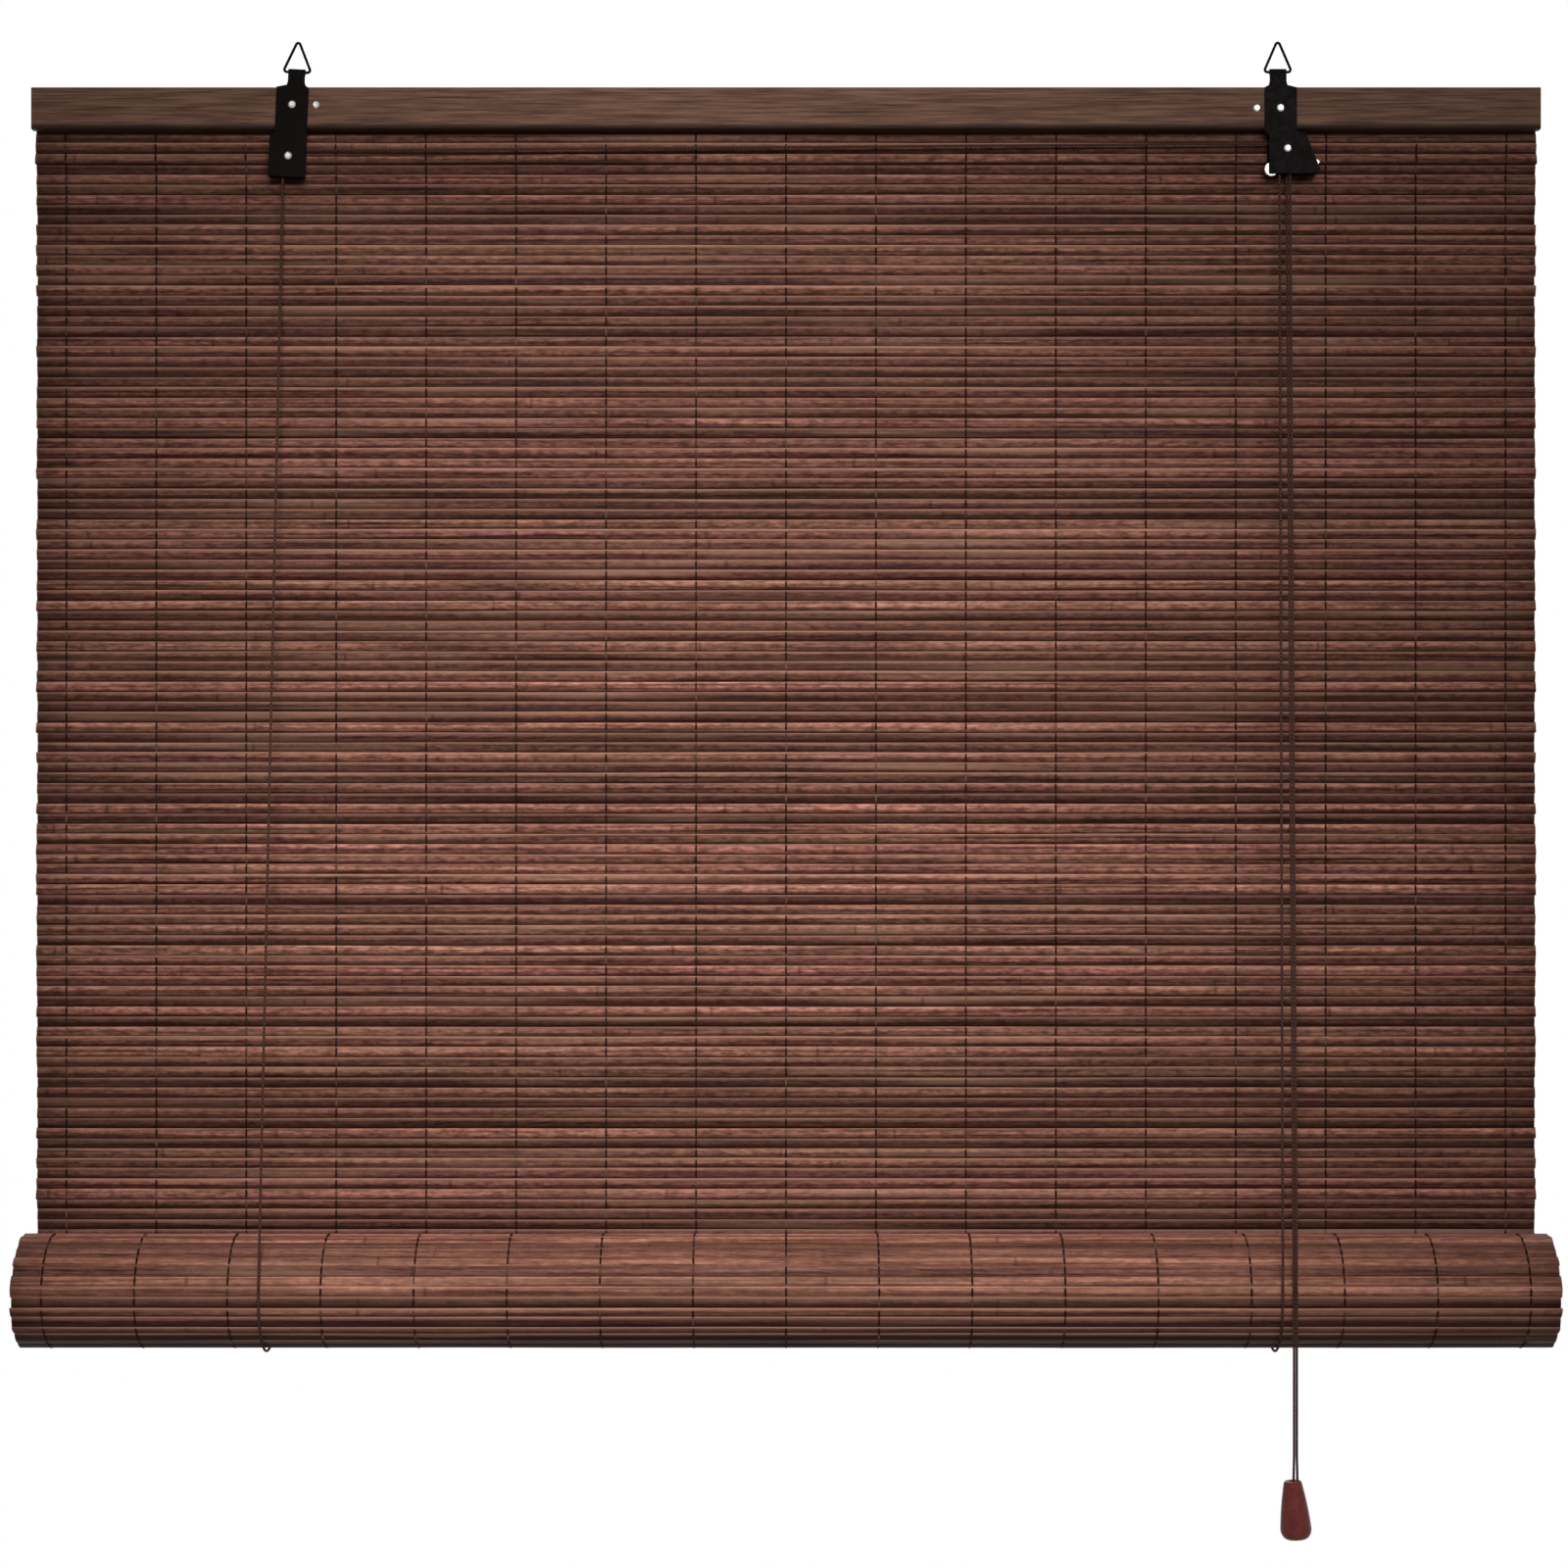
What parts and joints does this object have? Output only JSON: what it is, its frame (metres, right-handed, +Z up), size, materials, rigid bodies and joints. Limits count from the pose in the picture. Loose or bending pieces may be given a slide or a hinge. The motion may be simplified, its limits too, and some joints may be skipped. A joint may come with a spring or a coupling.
{
  "type": "bamboo roll-up blind",
  "caption": "Woven bamboo slat blind, rolled up from below by cords under the roll, with a wooden head rail, sheet brackets with hanging rings, pulleys, a cord lock and a pull tassel.",
  "frame": {"origin": "on the head rail's middle, at the height where hooks bear in the tops of the two hanging rings and in the rings' plane", "axes": "+X to the right as seen from the room, +Y towards the wall or window, +Z up"},
  "size_m": [0.9, 0.0822, 0.879],
  "materials": {
    "stained_wood": "satin",
    "bamboo": "satin",
    "thread": "matt",
    "bare_steel": "bright",
    "black_paint": "satin",
    "black_plastic": "satin",
    "cord": "matt",
    "tassel_wood": "satin"
  },
  "bodies": {
    "head": {"head_rail": "stained_wood", "slat_mat": "bamboo", "warp_threads": "thread", "mat_staples": "bare_steel", "nails": "bare_steel", "left_bracket": "black_paint", "right_bracket": "black_paint", "rivets": "bare_steel", "guide_pin": "black_paint", "lock_pin": "black_paint", "lock_stud": "bare_steel", "cord_staples": "bare_steel", "cord_knots": "cord", "cross_cord": "cord", "pull_cord_front": "cord", "pull_cord_rear": "cord"},
    "left_ring": {"left_ring": "black_paint"},
    "right_ring": {"right_ring": "black_paint"},
    "left_pulley": {"left_pulley": "black_plastic"},
    "right_pulley": {"right_pulley": "black_plastic"},
    "guide_roller": {"guide_roller": "bare_steel"},
    "lock_cam": {"lock_cam": "bare_steel"},
    "lift_cords": {"left_lift_cord": "cord", "right_lift_cord": "cord"},
    "roll": {"mat_roll": "bamboo", "roll_threads": "thread", "bottom_rod": "stained_wood"},
    "tassel": {"tassel": "tassel_wood", "tassel_knot": "cord"}
  },
  "joints": [
    {"name": "roll_lift", "type": "slide", "parent": "head", "child": "lift_cords", "axis": [0, 0, 1], "range_m": [0, 0.48], "deforming": ["slat_mat", "warp_threads", "left_lift_cord", "right_lift_cord", "pull_cord_front", "pull_cord_rear"]},
    {"name": "roll_turn", "type": "hinge", "parent": "lift_cords", "child": "roll", "pos_m": [0, -0.02328, -0.73876], "axis": [-1, 0, 0], "range_deg": [0, 720]},
    {"name": "tassel_pull", "type": "slide", "parent": "lift_cords", "child": "tassel", "axis": [0, 0, -1], "range_m": [0, 1.44]},
    {"name": "left_pulley_turn", "type": "hinge", "parent": "head", "child": "left_pulley", "pos_m": [-0.29673, 0.0022, -0.06653], "axis": [0, 1, 0], "continuous": true},
    {"name": "right_pulley_turn", "type": "hinge", "parent": "head", "child": "right_pulley", "pos_m": [0.299, 0.0022, -0.062], "axis": [0, 1, 0], "continuous": true},
    {"name": "guide_roller_turn", "type": "hinge", "parent": "head", "child": "guide_roller", "pos_m": [0.2895, 0.0022, -0.0744], "axis": [0, -1, 0], "continuous": true},
    {"name": "lock_release", "type": "hinge", "parent": "head", "child": "lock_cam", "pos_m": [0.31, 0.0022, -0.069], "axis": [0, -1, 0], "range_deg": [0, 30]},
    {"name": "left_ring_swing", "type": "hinge", "parent": "head", "child": "left_ring", "pos_m": [-0.29156, 0, -0.01671], "axis": [0.999, 0, -0.0436], "range_deg": [-105, 150]},
    {"name": "right_ring_swing", "type": "hinge", "parent": "head", "child": "right_ring", "pos_m": [0.2932, 0, -0.0166], "axis": [1, 0, 0], "range_deg": [-105, 150]}
  ],
  "couplings": [
    {"joint": "roll_turn", "follows": "roll_lift", "rad_per_m": 26.18},
    {"joint": "tassel_pull", "follows": "roll_lift", "ratio": 3},
    {"joint": "left_pulley_turn", "follows": "roll_lift", "rad_per_m": 555.6},
    {"joint": "right_pulley_turn", "follows": "roll_lift", "rad_per_m": 555.6},
    {"joint": "guide_roller_turn", "follows": "roll_lift", "rad_per_m": 500}
  ]
}
